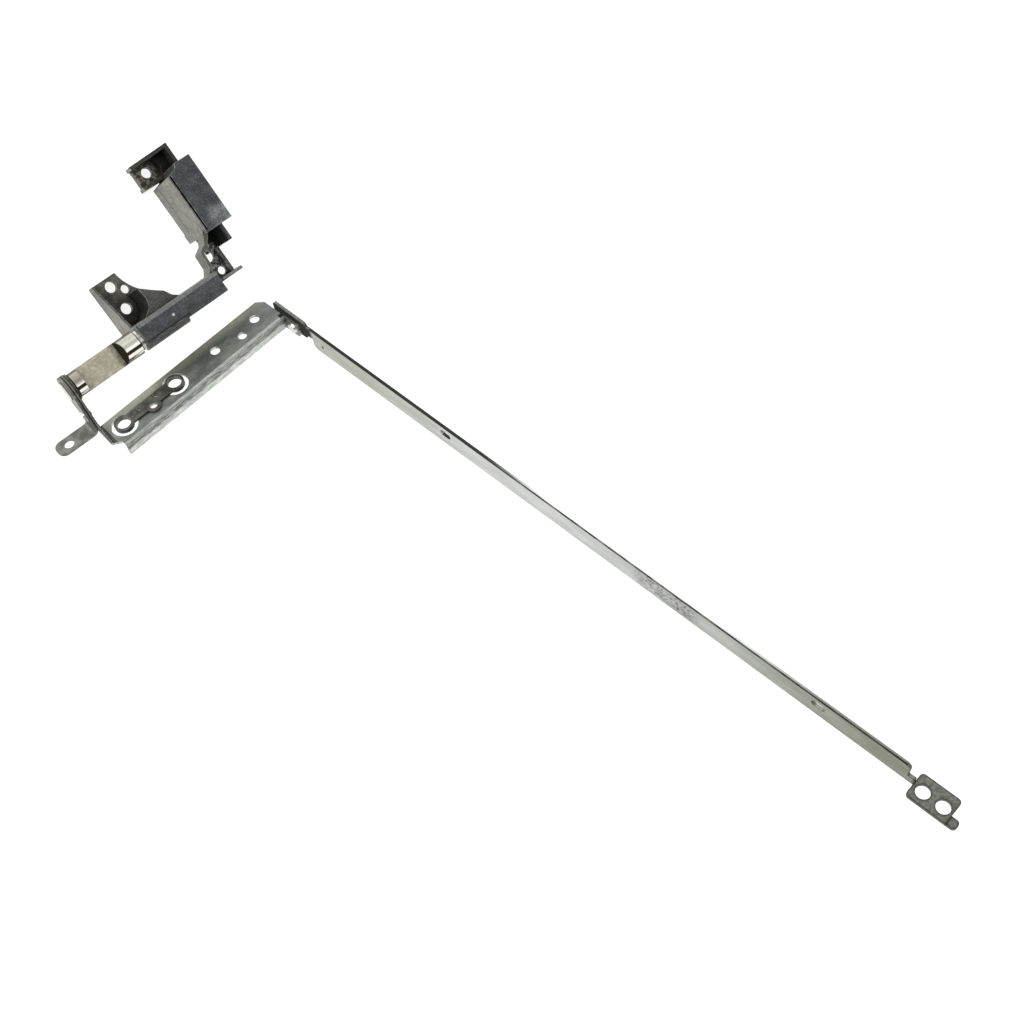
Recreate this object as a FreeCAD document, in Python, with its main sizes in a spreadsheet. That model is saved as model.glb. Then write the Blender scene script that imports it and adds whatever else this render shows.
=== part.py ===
import FreeCAD, Part
import os
import re
import Sketcher

# One laptop lid hinge: die-cast base bracket, friction shaft, folded lid plate and panel rail.
# Millimetres. X runs along the hinge axis, +Y from the hinge to the base casting, +Z up.
# Origin: midway between the two base screw holes, on the underside of the casting.

SIZES = [
    # hinge axis and rest pose
    ("axis_y", -12.1, "hinge axis, Y"),
    ("axis_z", 18.0, "hinge axis height above the casting's underside"),
    ("lid_tilt", -45.0, "turn of the lid about the hinge axis at rest, degrees"),
    ("lid_splay", 4.16, "turn of the lid plate in its own plane, degrees"),
    # fits
    ("run_fit", 0.03, "radial clearance, journal in sleeve and washer"),
    ("seat_fit", 0.02, "radial clearance, pressed and staked pieces"),
    # casting: base mount
    ("wall_t", 1.4, "casting wall"),
    ("mount_t", 2.3, "base mount floor"),
    ("mount_x0", -5.1, "left face of the casting"),
    ("mount_y1", 6.2, "rear edge of the base mount"),
    ("sweep_turn", 26.24, "where the concave edge passes the peg hole, degrees"),
    ("sweep_edge", 1.56, "peg hole's centre to the concave edge"),
    ("sweep_r", 12.6, "radius of the concave edge"),
    ("mount_low_z", 4.5, "left wall height at the rear"),
    ("side_z", 15.5, "left wall height at the bar"),
    ("side_t", 0.6, "left wall"),
    ("screw_x", 0.0, "base screw row, X"),
    ("screw_pitch", 7.1, "base screw row, spacing"),
    ("screw_r", 1.6, "base screw hole"),
    ("peg_x", 3.0, "locating hole, X"),
    ("peg_y", 1.0, "locating hole, Y"),
    ("peg_r", 1.25, "locating hole"),
    # casting: web block
    ("web_z", 18.0, "web top"),
    ("web_t", 1.5, "web thickness"),
    ("rim_x1", 2.3, "pocket rim, rear end"),
    ("rim_y1", -0.6, "pocket rim, rear end"),
    ("rim_x2", 2.7, "pocket rim, widest"),
    ("rim_y2", -4.2, "pocket rim, widest"),
    ("rim_x3", 1.9, "pocket rim, turn"),
    ("rim_y3", -6.5, "pocket rim, turn"),
    ("rim_x4", -0.8, "pocket rim meets the bar"),
    ("block_x2", 5.5, "web rear edge, first"),
    ("block_y2", -3.25, "web rear edge, first"),
    ("block_x3", 7.9, "web rear edge, second"),
    ("block_y3", -5.0, "web rear edge, second"),
    ("block_x4", 9.1, "web rear edge, third"),
    ("block_y4", -7.1, "web rear edge, third"),
    ("block_x5", 10.8, "web rear edge meets the bar"),
    ("rim_round", 1.6, "rounding of the pocket rim"),
    ("edge_round", 1.2, "rounding of the web outline"),
    # casting: bar and barrel
    ("bar_y0", -14.0, "front edge of the bar top"),
    ("bar_y1", -8.3, "rear edge of the bar"),
    ("bar_step", 0.5, "bar wider past the barrel"),
    ("bar_x1", 21.7, "right end of the bar"),
    ("bar_z0", 12.0, "underside of the bar and arm"),
    ("barrel_r", 3.6, "barrel outside"),
    ("barrel_len", 13.8, "barrel length"),
    ("bore_len", 12.4, "depth of the blind bore"),
    ("key_w", 1.0, "sleeve tail slot, width"),
    ("key_h", 0.45, "sleeve tail, height"),
    # casting: arm
    ("arm_t", 0.9, "arm wall"),
    ("arm_drop", 2.6, "arm below the bar's top"),
    ("arm_x0", 20.6, "arm leaves the bar"),
    ("arm_x1", 21.8, "arm first bend, X"),
    ("arm_y1", -6.6, "arm first bend, Y"),
    ("arm_x2", 22.0, "arm second bend, X"),
    ("arm_y2", -2.2, "arm second bend, Y"),
    ("arm_x3", 24.4, "arm third bend, X"),
    ("arm_y3", -0.9, "arm third bend, Y"),
    ("arm_round", 1.1, "rounding of the arm bends"),
    # casting: small screw plate between arm and fin
    ("ledge_z", 11.5, "ledge underside"),
    ("ledge_t", 1.5, "ledge thickness"),
    ("ledge_x1", 28.3, "ledge right edge"),
    ("ledge_y0", -12.0, "ledge front edge"),
    ("ledge_screw_x", 24.85, "ledge screw hole, X"),
    ("ledge_screw_y", -4.3, "ledge screw hole, Y"),
    ("ledge_screw_r", 1.6, "ledge screw hole"),
    ("ledge_peg_x", 25.9, "ledge locating hole, X"),
    ("ledge_peg_y", -9.4, "ledge locating hole, Y"),
    ("ledge_peg_r", 1.15, "ledge locating hole"),
    ("rib_t", 0.9, "ledge rib and fin"),
    ("rib_y1", -3.5, "rib rear end"),
    ("rib_h", 4.0, "rib height from the ledge underside"),
    ("fin_x1", 30.4, "fin right end"),
    ("fin_h", 4.6, "fin height from the ledge underside"),
    # casting: box
    ("box_x0", 26.2, "box left face"),
    ("box_x1", 34.6, "box right face"),
    ("box_y0", 1.1, "box open end"),
    ("box_y1", 20.7, "box rear face"),
    ("box_wall", 1.2, "box wall"),
    ("seam_in", 0.3, "side skin outside the top seam"),
    ("seam_w", 0.5, "top seam width"),
    ("seam_d", 2.4, "top seam depth"),
    ("box_deep", 16.0, "depth of the hollow"),
    ("notch_x", 29.8, "corner notch, X"),
    ("notch_y", 18.5, "corner notch, Y"),
    ("notch_in", 0.8, "corner notch, inner corner"),
    ("step_z", 7.0, "step line on the box side"),
    ("step_in", 0.25, "step depth"),
    ("recess_y0", -3.9, "front edge of the low floor"),
    ("recess_x0", 28.2, "left edge of the low floor"),
    ("recess_z", 10.0, "low side wall height"),
    # casting: screw tray
    ("tray_t", 2.0, "tray floor"),
    ("tray_x0", 23.3, "tray open end"),
    ("tray_back", 0.45, "tray floor set back"),
    ("tray_y0", 19.6, "tray front face"),
    ("tray_y1", 27.1, "tray rear face"),
    ("tray_wall", 1.0, "tray wall"),
    ("tray_low", 4.6, "tray wall height at the open end"),
    ("tray_high", 10.0, "tray wall height at the closed end"),
    ("tray_screw_x", 27.4, "tray screw hole, X"),
    ("tray_screw_y", 23.6, "tray screw hole, Y"),
    ("tray_screw_r", 1.5, "tray screw hole"),
    ("seat_r", 3.6, "round screw seat"),
    ("land_x0", 28.6, "raised land starts"),
    ("land_z", 5.0, "raised land height"),
    # shaft
    ("shaft_r", 3.5, "shaft and collar"),
    ("land_end", -24.4, "round land ends, flat starts"),
    ("flat_z", 0.3, "milled flat above the axis"),
    ("flat_x1", -10.9, "flat ends at the collar"),
    ("flat_run", 1.3, "sloping run-out of the flat"),
    ("collar_x1", -6.2, "collar right face"),
    ("shaft_edge", 0.3, "edge break on the shaft"),
    ("journal_r", 2.2, "journal in the barrel"),
    ("journal_x1", 6.8, "journal end"),
    ("groove_x", 5.3, "middle of the retaining groove"),
    ("pin_dy", 0.6, "pin set off from the axis"),
    ("groove_w", 0.9, "retaining groove width"),
    ("groove_r", 1.5, "retaining groove bottom"),
    ("pin_r", 0.35, "retaining pin"),
    ("pin_gap", 0.12, "pin tip to groove bottom"),
    ("tenon_r", 2.5, "tenon, round part"),
    ("tenon_h", 1.8, "tenon, half height over the flats"),
    ("peen_h", 0.35, "staked head height"),
    ("peen_w", 0.3, "staked head overlap"),
    # sleeve and washers
    ("sleeve_t", 0.5, "friction sleeve wall"),
    ("sleeve_x0", 0.4, "sleeve set back in the bore"),
    ("sleeve_len", 7.6, "friction sleeve length"),
    ("sleeve_slit", 0.8, "slit in the sleeve"),
    ("thrust_r", 3.0, "thrust washer outside"),
    ("thrust_gap", 0.05, "thrust washer to casting"),
    ("spacer_t", 0.6, "ear washer thickness"),
    ("spacer_r", 3.9, "ear washer outside"),
    # ear of the lid plate and tab bracket, measured from the hinge axis in the lid's frame
    ("head_r", 4.1, "round head of ear and bracket"),
    ("ear_t", 0.8, "lid plate sheet"),
    ("plate_x", -27.67, "inner face of the ear"),
    ("plate_y", -6.43, "rear edge of the lid plate"),
    ("plate_z", -11.5, "top of the lid plate"),
    ("ear_front_y", -13.4, "ear foot, front"),
    ("ear_knee_y", -7.2, "ear knee, Y"),
    ("ear_knee_z", -9.0, "ear knee, Z"),
    ("strap_t", 0.8, "tab bracket sheet"),
    ("strap_y0", -7.5, "tab front edge"),
    ("strap_y1", -2.5, "tab rear edge"),
    ("strap_z", -11.5, "tab top"),
    ("strap_x1", -40.3, "tab end"),
    ("strap_round", 2.2, "tab end rounding"),
    ("strap_hole_x", -36.5, "tab screw hole, X"),
    ("strap_hole_r", 1.45, "tab screw hole"),
    ("bend_r", 0.9, "inner bend radius"),
    ("ear_rivet_y", -3.8, "ear rivet, Y"),
    ("ear_rivet_z", -7.2, "ear rivet, Z"),
    ("ear_rivet_r", 0.8, "ear rivet shank"),
    ("rivet_head", 0.35, "rivet head overlap"),
    ("rivet_dome", 0.5, "rivet head height"),
    # lid plate, in its own frame
    ("plate_x1", 58.4, "lid plate right end"),
    ("plate_cut", 1.9, "lid plate corner cut"),
    ("plate_front", -10.3, "outer face of the flange"),
    ("plate_foot_y", -6.9, "left end, front corner"),
    ("flange_x0", 1.2, "flange left end"),
    ("flange_z", -4.6, "flange lower edge"),
    ("relief_x", 57.2, "bend relief, X"),
    ("relief_y", -8.7, "bend relief, Y"),
    ("fold_r", 0.9, "outer fold radius"),
    ("corner_r", 1.0, "sheet corner rounding"),
    ("tab_front", -15.6, "rail tab front end"),
    ("tab_z0", -5.5, "rail tab lower edge"),
    ("tab_z1", -0.6, "rail tab upper edge"),
    ("hole_y", -4.5, "lid plate screw row"),
    ("hole_x1", 52.3, "lid plate screw hole"),
    ("hole_x3", 37.6, "lid plate screw hole"),
    ("hole_r", 1.45, "lid plate screw hole"),
    ("slot_x", 46.05, "lid plate locating hole, X"),
    ("slot_y", -6.4, "lid plate locating hole, Y"),
    ("slot_r", 1.3, "lid plate locating hole"),
    # screw link, in the lid plate's frame
    ("link_t", 0.7, "link sheet"),
    ("eye_x1", 5.0, "first eyelet"),
    ("eye_x2", 22.8, "second eyelet"),
    ("eye_y", -4.85, "eyelets"),
    ("eye_r", 2.7, "eyelet outside"),
    ("eye_bore_r", 2.0, "eyelet bore"),
    ("eye_up", 1.0, "eyelet top"),
    ("eye_down", -0.3, "eyelet lower end"),
    ("eye_hole_r", 3.75, "clear hole in the lid plate"),
    ("link_y0", -6.6, "link body front"),
    ("link_y1", -2.9, "link body rear"),
    ("lobe_x", 14.15, "link lobe"),
    ("lobe_y", -6.2, "link lobe"),
    ("lobe_r", 2.2, "link lobe"),
    ("lobe_hole_r", 1.2, "link middle hole"),
    ("link_rivet_y", -3.95, "link rivets"),
    ("link_rivet_x1", 11.25, "first link rivet"),
    ("link_rivet_x2", 17.1, "second link rivet"),
    ("link_rivet_r", 0.75, "link rivet shank"),
    ("link_rivet_dome", 0.15, "link rivet head height"),
    # panel rail, in the lid plate's frame
    ("rail_x", 59.2, "rail left face"),
    ("rail_t", 0.9, "rail sheet"),
    ("rail_yaw", -0.37, "rail set over in the lid's plane, degrees"),
    ("rail_gap", 0.03, "rail to tab"),
    ("pip_z", -3.9, "tiny rail hole, height"),
    ("rail_z0", -7.0, "rail lower edge"),
    ("rail_z1", -0.1, "rail upper edge"),
    ("rail_end", -216.3, "rail upright ends"),
    ("head_y0", -18.0, "rail head front end"),
    ("head_y1", -4.6, "rail head rear end"),
    ("head_z0", -5.0, "rail head lower edge"),
    ("head_z1", 1.1, "rail head upper edge"),
    ("neck_y0", -20.4, "rail neck front end"),
    ("neck_z0", -3.4, "rail neck lower edge"),
    ("head_round", 1.0, "rail head rounding"),
    ("rail_round", 1.6, "rail corner rounding"),
    ("pip_y", -24.4, "tiny rail hole"),
    ("pip_r", 0.45, "tiny rail hole"),
    ("obround_y1", -72.8, "first obround hole"),
    ("obround_y2", -192.0, "second obround hole"),
    ("obround_z", -2.7, "obround holes, height"),
    ("obround_half", 0.7, "obround holes, half centre distance"),
    ("obround_r", 1.1, "obround holes, end radius"),
    ("foot_neck_y", -218.1, "end plate starts"),
    ("foot_neck_z", -4.6, "end neck top"),
    ("foot_x0", 55.8, "end plate left edge"),
    ("foot_x1", 62.7, "end plate right edge"),
    ("foot_y0", -228.5, "end plate front edge"),
    ("foot_hole_x", 58.9, "end plate holes, X"),
    ("foot_hole_y1", -220.8, "first end plate hole"),
    ("foot_pitch", 5.25, "end plate hole spacing"),
    ("foot_hole_r", 1.75, "end plate holes"),
    ("tongue_x1", 58.5, "tongue right edge"),
    ("tongue_y0", -230.8, "tongue end"),
    ("tongue_drop", 0.4, "tongue set down"),
    ("tongue_in", 0.2, "tongue set in from the edge"),
    ("rail_rivet_y", -13.0, "rail rivet, Y"),
    ("rail_rivet_z", -3.0, "rail rivet, Z"),
    ("rail_rivet_r", 1.1, "rail rivet shank"),
    ("rail_rivet_head", 0.7, "rail rivet head overlap"),
    ("rail_rivet_dome", 0.6, "rail rivet head height"),
]

doc = FreeCAD.newDocument("laptop_hinge")
dims = doc.addObject("Spreadsheet::Sheet", "dims")
for row, (alias, value, note) in enumerate(SIZES, 1):
    dims.set("A%d" % row, note)
    dims.set("B%d" % row, str(value))
    dims.setAlias("B%d" % row, alias)
doc.recompute()

NAMES = set(alias for alias, value, note in SIZES)
ORIGIN = -1
START, END, CENTRE = range(1, 4)
NEAR = 1e-4
FULL_TURN = 360


def bound(text):
    """Expression in which every size name points at the sheet."""
    def refer(found):
        word = found.group(0)
        return "dims." + word if word in NAMES else word
    return re.sub(r"[a-z][a-z0-9_]*", refer, text)


def new_body(name, place=None):
    body = doc.addObject("PartDesign::Body", name)
    body.Label = name
    if place:
        body.setExpression("Placement", bound(place))
    return body


def new_sketch(body, name, plane, offset):
    sketch = body.newObject("Sketcher::SketchObject", name)
    support = [item for item in body.Origin.OriginFeatures if item.Role == plane + "_Plane"]
    sketch.AttachmentSupport = [(support[0], "")]
    sketch.MapMode = "FlatFace"
    if offset.startswith("placement"):
        sketch.setExpression("AttachmentOffset", bound(offset))
    else:
        sketch.setExpression("AttachmentOffset.Base.z", bound(offset))
    return sketch


def drive(sketch, constraint, text):
    number = sketch.addConstraint(constraint)
    sketch.setExpression("Constraints[%d]" % number, bound(text))


def locate(sketch, item, spot, across, up):
    drive(sketch, Sketcher.Constraint("DistanceX", ORIGIN, START, item, spot, 1.0), across)
    drive(sketch, Sketcher.Constraint("DistanceY", ORIGIN, START, item, spot, 1.0), up)


def outline(body, name, plane, offset, corners):
    """Closed polygon; every corner is a pair of expressions."""
    sketch = new_sketch(body, name, plane, offset)
    count = len(corners)
    ring = Part.makeCircle(1.0).discretize(Number=count + 1)
    for item in range(count):
        sketch.addGeometry(Part.LineSegment(ring[item], ring[item + 1]), False)
    for item in range(count):
        following = (item + 1) % count
        sketch.addConstraint(Sketcher.Constraint("Coincident", item, END, following, START))
    for item, (across, up) in enumerate(corners):
        locate(sketch, item, START, across, up)
    return sketch


def box(body, name, plane, offset, x0, y0, x1, y1):
    return outline(body, name, plane, offset, [(x0, y0), (x1, y0), (x1, y1), (x0, y1)])


def circles(body, name, plane, offset, rounds):
    """Circles given as centre and radius expressions."""
    sketch = new_sketch(body, name, plane, offset)
    for item, (across, up, radius) in enumerate(rounds):
        spot = FreeCAD.Vector(item, item, 0)
        sketch.addGeometry(Part.Circle(spot, FreeCAD.Vector(0, 0, 1), 1.0), False)
        drive(sketch, Sketcher.Constraint("Radius", item, 1.0), radius)
        locate(sketch, item, CENTRE, across, up)
    return sketch


def pad(body, sketch, length, back=False):
    feature = body.newObject("PartDesign::Pad", sketch.Name + "_pad")
    feature.Profile = sketch
    feature.Reversed = back
    feature.setExpression("Length", bound(length))
    doc.recompute()
    return feature


def cut(body, sketch, depth, ahead=False):
    """Pocket against the sketch's normal, or along it with ahead."""
    feature = body.newObject("PartDesign::Pocket", sketch.Name + "_cut")
    feature.Profile = sketch
    feature.Reversed = ahead
    feature.setExpression("Length", bound(depth))
    before = body.Shape.Volume
    doc.recompute()
    if body.Shape.Volume >= before:
        raise RuntimeError(sketch.Name + " cuts nothing")
    return feature


def turn(body, sketch, axis):
    feature = body.newObject("PartDesign::Revolution", sketch.Name + "_turned")
    feature.Profile = sketch
    feature.ReferenceAxis = (sketch, [axis])
    feature.Angle = FULL_TURN
    doc.recompute()
    return feature


def edges_at(shape, sketch, corners):
    """Names of the edges that stand on the given corners of a sketch."""
    normal = sketch.Placement.Rotation.multVec(FreeCAD.Vector(0, 0, 1))
    names = []
    for corner in corners:
        spot = sketch.Placement.multVec(sketch.Geometry[corner].StartPoint)
        for number, edge in enumerate(shape.Edges, 1):
            if len(edge.Vertexes) != 2 or edge.Curve.TypeId != "Part::GeomLine":
                continue
            run = edge.Vertexes[1].Point - edge.Vertexes[0].Point
            aside = (edge.Vertexes[0].Point - spot).cross(normal).Length
            if run.cross(normal).Length < NEAR and aside < NEAR:
                names.append("Edge%d" % number)
    return names


def soften(body, name, edges, radius):
    base = body.Tip
    feature = body.newObject("PartDesign::Fillet", name)
    feature.Base = (base, edges)
    feature.setExpression("Radius", bound(radius))
    doc.recompute()
    if "Invalid" in feature.State or not feature.Shape.isValid():
        raise RuntimeError(name + " on " + str(edges) + ": " + feature.getStatusString())
    return feature


def round_corners(body, name, sketch, corners, radius):
    doc.recompute()
    return soften(body, name, edges_at(body.Tip.Shape, sketch, corners), radius)


AXIS = "placement(vector(0; axis_y; axis_z); rotation(vector(1; 0; 0); 0))"
LID = "placement(vector(0; axis_y; axis_z); rotation(vector(1; 0; 0); lid_tilt))"
PLATE = LID + " * placement(vector(plate_x; plate_y; plate_z); rotation(vector(0; 0; 1); lid_splay))"
RAIL = (PLATE + " * placement(vector(rail_x + rail_gap; rail_rivet_y; 0);"
        + " rotation(vector(0; 0; 1); rail_yaw))"
        + " * placement(vector(0 - rail_x; 0 - rail_rivet_y; 0); rotation(vector(0; 0; 1); 0))")
CAST_TOP = "axis_z + barrel_r"
BORE_R = "journal_r + run_fit + sleeve_t + seat_fit"

# base casting
cast = new_body("base_casting")
floor = box(cast, "mount_floor", "XY", "0", "mount_x0", "bar_y1 - wall_t",
            "block_x3 - wall_t", "mount_y1")
pad(cast, floor, "mount_t")
sweep = circles(cast, "concave_edge", "XY", "mount_t", [
    ("peg_x + (sweep_r + sweep_edge) * cos(sweep_turn * 1 deg)",
     "peg_y + (sweep_r + sweep_edge) * sin(sweep_turn * 1 deg)", "sweep_r"),
])
cut(cast, sweep, "mount_t")
web = outline(cast, "web_block", "XY", "0", [
    ("rim_x1", "rim_y1"),
    ("block_x2", "block_y2"),
    ("block_x3", "block_y3"),
    ("block_x4", "block_y4"),
    ("block_x5", "bar_y1"),
    ("block_x5", "bar_y1 - wall_t"),
    ("mount_x0", "bar_y1 - wall_t"),
    ("mount_x0", "bar_y1"),
    ("rim_x4", "bar_y1"),
    ("rim_x3", "rim_y3"),
    ("rim_x2", "rim_y2"),
])
pad(cast, web, "web_z")
round_corners(cast, "rim_rounds", web, [9, 10], "rim_round")
round_corners(cast, "web_rounds", web, [2, 3], "edge_round")
core = outline(cast, "web_core", "XY", "0", [
    ("rim_x2 + wall_t", "rim_y2 - wall_t / 2"),
    ("block_x3 - wall_t", "block_y3 - wall_t"),
    ("block_x4 - wall_t", "bar_y1"),
    ("rim_x3 + wall_t", "bar_y1"),
])
cut(cast, core, "web_z - web_t", ahead=True)
side = outline(cast, "left_wall", "YZ", "mount_x0", [
    ("mount_y1", "0"),
    ("mount_y1", "mount_low_z"),
    ("bar_y1", "side_z"),
    ("bar_y1 - wall_t", "side_z"),
    ("bar_y1 - wall_t", "0"),
])
pad(cast, side, "side_t")
bar = outline(cast, "bar", "XY", "bar_z0", [
    ("mount_x0", "bar_y0"),
    ("mount_x0 + barrel_len", "bar_y0"),
    ("mount_x0 + barrel_len", "bar_y0 - bar_step"),
    ("bar_x1", "bar_y0 - bar_step"),
    ("bar_x1", "bar_y1"),
    ("mount_x0", "bar_y1"),
])
pad(cast, bar, CAST_TOP + " - bar_z0")
barrel = circles(cast, "barrel", "YZ", "mount_x0", [("axis_y", "axis_z", "barrel_r")])
pad(cast, barrel, "barrel_len")
arm = outline(cast, "arm", "XY", "bar_z0", [
    ("arm_x0", "bar_y1 - wall_t"),
    ("arm_x0", "bar_y1"),
    ("arm_x1", "arm_y1"),
    ("arm_x2", "arm_y2"),
    ("arm_x3", "arm_y3"),
    ("box_x0", "box_y0 + wall_t"),
    ("box_x0 + arm_t", "box_y0 + wall_t"),
    ("box_x0 + arm_t", "box_y0"),
    ("arm_x3 + arm_t", "arm_y3 - arm_t / 2"),
    ("arm_x2 + arm_t", "arm_y2 - arm_t / 2"),
    ("arm_x1 + arm_t", "arm_y1"),
    ("bar_x1", "bar_y1"),
    ("bar_x1", "bar_y1 - wall_t"),
])
pad(cast, arm, CAST_TOP + " - bar_z0 - arm_drop")
round_corners(cast, "arm_rounds", arm, [2, 3, 4, 8, 9], "arm_round")
bar_core = box(cast, "bar_core", "XY", "bar_z0", "mount_x0 + barrel_len + wall_t", "bar_y0 + wall_t",
               "bar_x1 - wall_t", "bar_y1 - wall_t")
cut(cast, bar_core, CAST_TOP + " - bar_z0 - web_t", ahead=True)
ledge = outline(cast, "ledge", "XY", "ledge_z", [
    ("bar_x1 - wall_t", "ledge_y0"),
    ("ledge_x1", "ledge_y0"),
    ("ledge_x1", "arm_y3 - arm_t"),
    ("arm_x3 + arm_t / 2", "arm_y3 - arm_t / 2"),
    ("arm_x2 + arm_t / 2", "arm_y2 - arm_t / 2"),
    ("arm_x1 + arm_t / 2", "arm_y1"),
    ("bar_x1 - wall_t", "bar_y1 - wall_t"),
])
pad(cast, ledge, "ledge_t")
rib = box(cast, "rib", "XY", "ledge_z", "ledge_x1 - rib_t", "ledge_y0", "ledge_x1", "rib_y1")
pad(cast, rib, "rib_h")
fin = box(cast, "fin", "XY", "ledge_z", "bar_x1 - wall_t", "ledge_y0", "fin_x1", "ledge_y0 + rib_t")
pad(cast, fin, "fin_h")
shell = outline(cast, "box_shell", "XY", "0", [
    ("box_x0", "box_y0"),
    ("box_x1", "box_y0"),
    ("box_x1", "box_y1"),
    ("notch_x", "box_y1"),
    ("notch_x - notch_in", "notch_y + notch_in"),
    ("box_x0", "notch_y"),
])
pad(cast, shell, CAST_TOP)
round_corners(cast, "box_rounds", shell, [4], "notch_in")
step = box(cast, "side_step", "YZ", "box_x0", "box_y0 + 2 * wall_t", "0", "notch_y", "step_z")
cut(cast, step, "step_in", ahead=True)
low_floor = box(cast, "low_floor", "XY", "0", "recess_x0", "recess_y0", "box_x1", "box_y0 + box_wall")
pad(cast, low_floor, "tray_t")
low_right = box(cast, "low_right", "XY", "0", "box_x1 - box_wall", "recess_y0",
                "box_x1", "box_y0 + box_wall")
pad(cast, low_right, "recess_z")
hollow = box(cast, "hollow", "XZ", "-box_y0", "box_x0 + box_wall", "tray_t",
             "box_x1 - box_wall", CAST_TOP + " - box_wall")
cut(cast, hollow, "box_deep")
seam = box(cast, "top_seam", "XY", CAST_TOP, "box_x0 + seam_in", "box_y0 + box_wall / 2",
           "box_x0 + seam_in + seam_w", "notch_y")
cut(cast, seam, "seam_d")
tray = box(cast, "tray_floor", "XY", "0", "tray_x0 + tray_back", "tray_y0", "box_x1", "tray_y1")
pad(cast, tray, "tray_t")
land = box(cast, "tray_land", "XY", "0", "land_x0", "tray_y0 + tray_wall",
           "box_x1", "tray_y1 - tray_wall / 2")
pad(cast, land, "land_z")
seat = circles(cast, "screw_seat", "XY", "land_z", [("tray_screw_x", "tray_screw_y", "seat_r")])
cut(cast, seat, "land_z - tray_t")
SLOPE = "tray_low + (tray_high - tray_low) * (notch_x - tray_x0) / (box_x1 - tray_x0)"
rear_wall = outline(cast, "tray_rear", "XZ", "-tray_y1", [
    ("tray_x0", "0"),
    ("box_x1", "0"),
    ("box_x1", "tray_high"),
    ("tray_x0", "tray_low"),
])
pad(cast, rear_wall, "tray_wall")
front_wall = outline(cast, "tray_front", "XZ", "-tray_y0 - tray_wall", [
    ("tray_x0", "0"),
    ("notch_x", "0"),
    ("notch_x", SLOPE),
    ("tray_x0", "tray_low"),
])
pad(cast, front_wall, "tray_wall")
end_wall = box(cast, "tray_end", "XY", "0", "box_x1 - tray_wall", "box_y1 - box_wall", "box_x1", "tray_y1")
pad(cast, end_wall, "tray_high")
screws = circles(cast, "base_holes", "XY", "0", [
    ("screw_x", "screw_pitch / 2", "screw_r"),
    ("screw_x", "-screw_pitch / 2", "screw_r"),
    ("peg_x", "peg_y", "peg_r"),
    ("tray_screw_x", "tray_screw_y", "tray_screw_r"),
])
cut(cast, screws, "mount_t + tray_t / 2", ahead=True)
ledge_holes = circles(cast, "ledge_holes", "XY", "ledge_z", [
    ("ledge_screw_x", "ledge_screw_y", "ledge_screw_r"),
    ("ledge_peg_x", "ledge_peg_y", "ledge_peg_r"),
])
cut(cast, ledge_holes, "2 * ledge_t", ahead=True)
bore = circles(cast, "barrel_bore", "YZ", "mount_x0", [("axis_y", "axis_z", BORE_R)])
cut(cast, bore, "bore_len", ahead=True)
keyway = box(cast, "tail_slot", "YZ", "mount_x0", "axis_y", "axis_z - key_w / 2",
             "axis_y + key_h + seat_fit + " + BORE_R, "axis_z + key_w / 2")
cut(cast, keyway, "sleeve_x0 + sleeve_len + run_fit", ahead=True)
pin_hole = circles(cast, "pin_hole", "XY", CAST_TOP, [("groove_x", "axis_y + pin_dy", "pin_r + seat_fit")])
cut(cast, pin_hole, "barrel_r")

# friction sleeve: rolled, slit, with a tail that stops it turning in the barrel
sleeve = new_body("friction_sleeve", AXIS)
SLEEVE_IN = "journal_r + run_fit"
SLEEVE_OUT = "journal_r + run_fit + sleeve_t"
tube = circles(sleeve, "tube", "YZ", "mount_x0 + sleeve_x0", [("0", "0", SLEEVE_OUT)])
pad(sleeve, tube, "sleeve_len")
tail = box(sleeve, "tail", "YZ", "mount_x0 + sleeve_x0", "journal_r", "-key_w / 2 + seat_fit",
           SLEEVE_OUT + " + key_h", "key_w / 2 - seat_fit")
pad(sleeve, tail, "sleeve_len")
tube_bore = circles(sleeve, "tube_bore", "YZ", "mount_x0 + sleeve_x0", [("0", "0", SLEEVE_IN)])
cut(sleeve, tube_bore, "sleeve_len", ahead=True)
slit = box(sleeve, "slit", "YZ", "mount_x0 + sleeve_x0", "0", "key_w / 2",
           "2 * journal_r", "key_w / 2 + sleeve_slit")
cut(sleeve, slit, "sleeve_len", ahead=True)

# retaining pin: pressed into the barrel from above, its tip in the journal's groove
pin = new_body("retaining_pin", AXIS)
pin_disc = circles(pin, "pin_disc", "XY", "groove_r + pin_gap", [("groove_x", "pin_dy", "pin_r")])
pad(pin, pin_disc, "barrel_r - groove_r - pin_gap")

# hinge shaft
shaft = new_body("hinge_shaft", AXIS)
TIP_X = "plate_x - ear_t - strap_t - peen_h"
profile = outline(shaft, "profile", "XY", "0", [
    (TIP_X, "0"),
    (TIP_X, "tenon_r"),
    ("plate_x + spacer_t", "tenon_r"),
    ("plate_x + spacer_t", "shaft_r - shaft_edge"),
    ("plate_x + spacer_t + shaft_edge", "shaft_r"),
    ("collar_x1 - shaft_edge", "shaft_r"),
    ("collar_x1", "shaft_r - shaft_edge"),
    ("collar_x1", "journal_r"),
    ("groove_x - groove_w / 2", "journal_r"),
    ("groove_x - groove_w / 2", "groove_r"),
    ("groove_x + groove_w / 2", "groove_r"),
    ("groove_x + groove_w / 2", "journal_r"),
    ("journal_x1 - shaft_edge", "journal_r"),
    ("journal_x1", "journal_r - shaft_edge"),
    ("journal_x1", "0"),
])
turn(shaft, profile, "H_Axis")
flat = outline(shaft, "milled_flat", "XZ", "-2 * shaft_r", [
    ("land_end", "flat_z"),
    ("flat_x1 - flat_run", "flat_z"),
    ("flat_x1", "shaft_r"),
    ("flat_x1", "2 * shaft_r"),
    ("land_end", "2 * shaft_r"),
])
cut(shaft, flat, "4 * shaft_r", ahead=True)
upper_flat = box(shaft, "upper_tenon_flat", "XZ", "-2 * shaft_r", TIP_X + " - peen_h", "tenon_h",
                 "plate_x + spacer_t", "2 * shaft_r")
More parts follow.
